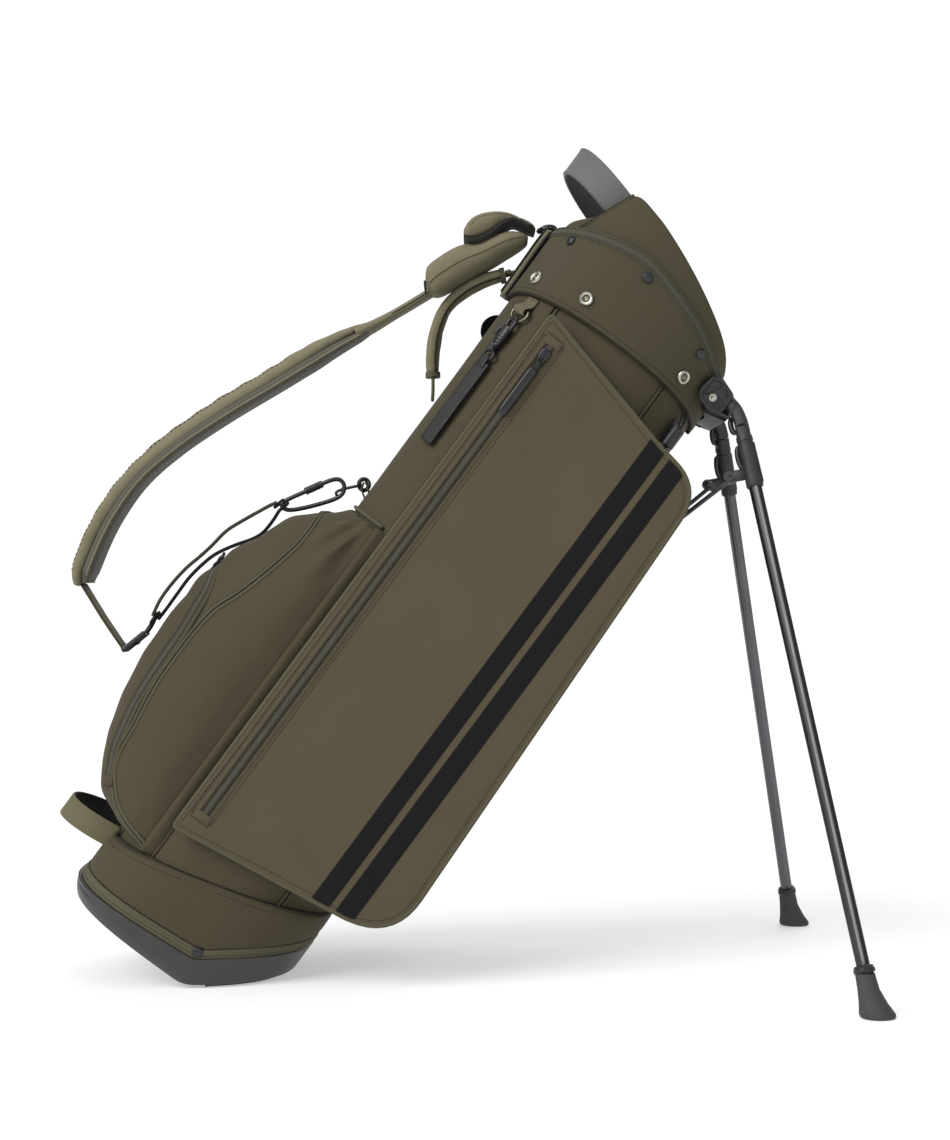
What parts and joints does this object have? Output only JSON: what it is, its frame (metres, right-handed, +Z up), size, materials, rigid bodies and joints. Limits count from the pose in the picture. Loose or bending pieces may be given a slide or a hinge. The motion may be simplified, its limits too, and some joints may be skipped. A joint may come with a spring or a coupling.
{
  "type": "golf stand bag",
  "caption": "Golf stand bag on open legs: round tube with flat zipped side pockets, bulging ball pocket, padded shoulder strap, divided mouth and folding two-leg stand.",
  "frame": {"origin": "middle of the footprint, on the floor", "axes": "+X from the spine side towards the legs, +Y from the near pocket to the far one, +Z up; the bag leans 36.5 degrees towards +X"},
  "size_m": [0.7866, 0.4922, 0.8165],
  "materials": {
    "coated_canvas": "matt coated woven",
    "smooth_shell": "smooth matt",
    "trim_tape": "matt tape",
    "webbing": "woven",
    "zip_tape": "reverse coil",
    "lining": "matt woven",
    "elastic_cord": "braided",
    "moulded_plastic": "satin moulded",
    "black_plastic": "satin",
    "grey_handle": "soft touch",
    "silver_metal": "nickel",
    "dark_steel": "black oxide",
    "leg_metal": "dark anodised",
    "rubber": "matt",
    "leather": "grained"
  },
  "bodies": {
    "root": {"base_cup": "moulded_plastic", "base_trim": "trim_tape", "boot_cuff": "coated_canvas", "belly_panel": "coated_canvas", "left_panel": "coated_canvas", "spine_panel": "coated_canvas", "right_panel": "coated_canvas", "right_stay": "black_plastic", "left_stay": "black_plastic", "collar_shell": "smooth_shell", "collar_trim": "trim_tape", "rim_cuff": "smooth_shell", "divider_frame": "black_plastic", "divider_cloth": "lining", "ball_pocket": "coated_canvas", "right_pocket": "coated_canvas", "right_zip": "zip_tape", "left_pocket": "coated_canvas", "left_zip": "zip_tape", "leg_bracket": "moulded_plastic", "right_leg_screw": "silver_metal", "left_leg_screw": "silver_metal", "rod_guide": "black_plastic", "right_rivet_1": "silver_metal", "right_rivet_2": "silver_metal", "right_rivet_3": "silver_metal", "left_rivet_1": "silver_metal", "left_rivet_2": "silver_metal", "left_rivet_3": "silver_metal", "cord_lock": "black_plastic", "lift_handle": "grey_handle", "heel_handle": "webbing", "spine_tape": "webbing", "bungee_anchor": "black_plastic", "shoulder_strap": "coated_canvas", "strap_tail": "webbing", "strap_buckle": "black_plastic", "strap_link": "webbing", "yoke_pad": "coated_canvas", "strap_hook": "black_plastic", "grab_handle": "coated_canvas", "grab_webbing": "webbing", "bungee_cord_a": "elastic_cord", "bungee_cord_b": "elastic_cord", "carabiner": "dark_steel"},
    "right_leg": {"right_leg_head": "moulded_plastic", "right_leg_tube": "leg_metal", "right_leg_foot": "rubber"},
    "left_leg": {"left_leg_head": "moulded_plastic", "left_leg_tube": "leg_metal", "left_leg_foot": "rubber"},
    "toe_plate": {"toe_plate": "moulded_plastic"},
    "push_rod": {"push_rod": "dark_steel"},
    "right_link": {"right_link": "dark_steel"},
    "left_link": {"left_link": "dark_steel"},
    "right_zip": {"right_zip_slider": "black_plastic"},
    "left_zip": {"left_zip_slider": "black_plastic"},
    "towel_clip": {"towel_ring": "silver_metal", "towel_clip": "black_plastic", "leather_tag": "leather"}
  },
  "joints": [
    {"name": "right_leg_fold", "type": "hinge", "parent": "root", "child": "right_leg", "pos_m": [0.25304, -0.06707, 0.55697], "axis": [0.289, 0.9331, -0.2138], "range_deg": [0, 48.82]},
    {"name": "left_leg_fold", "type": "hinge", "parent": "root", "child": "left_leg", "pos_m": [0.25304, 0.06707, 0.55697], "axis": [-0.289, 0.9331, 0.2138], "range_deg": [0, 48.82]},
    {"name": "toe_plate_hinge", "type": "hinge", "parent": "root", "child": "toe_plate", "pos_m": [-0.25527, 0, -0.00002], "axis": [0, 1, 0], "range_deg": [0, 36.5]},
    {"name": "push_rod_slide", "type": "slide", "parent": "root", "child": "push_rod", "axis": [-0.5948, 0, -0.8039], "range_m": [0, 0.03618]},
    {"name": "right_link_pivot", "type": "hinge", "parent": "push_rod", "child": "right_link", "pos_m": [0.11241, -0.012, 0.35986], "axis": [-0.445, -0.8935, 0.0606], "range_deg": [0, 16.48]},
    {"name": "left_link_pivot", "type": "hinge", "parent": "push_rod", "child": "left_link", "pos_m": [0.11241, 0.012, 0.35986], "axis": [0.445, -0.8935, -0.0606], "range_deg": [0, 16.48]},
    {"name": "right_zip_slide", "type": "slide", "parent": "root", "child": "right_zip", "axis": [-0.5948, 0, -0.8039], "range_m": [0, 0.5]},
    {"name": "left_zip_slide", "type": "slide", "parent": "root", "child": "left_zip", "axis": [-0.5948, 0, -0.8039], "range_m": [0, 0.5]},
    {"name": "towel_ring_swing", "type": "hinge", "parent": "root", "child": "towel_clip", "pos_m": [0.06574, -0.07531, 0.64568], "axis": [-0.5232, 0.7592, 0.3871], "range_deg": [0, 75]}
  ],
  "couplings": [
    {"joint": "left_leg_fold", "follows": "right_leg_fold", "ratio": 1},
    {"joint": "toe_plate_hinge", "follows": "right_leg_fold", "ratio": 0.7476},
    {"joint": "push_rod_slide", "follows": "right_leg_fold", "m_per_rad": 0.042457},
    {"joint": "right_link_pivot", "follows": "right_leg_fold", "ratio": 0.3376},
    {"joint": "left_link_pivot", "follows": "right_leg_fold", "ratio": 0.3376}
  ]
}
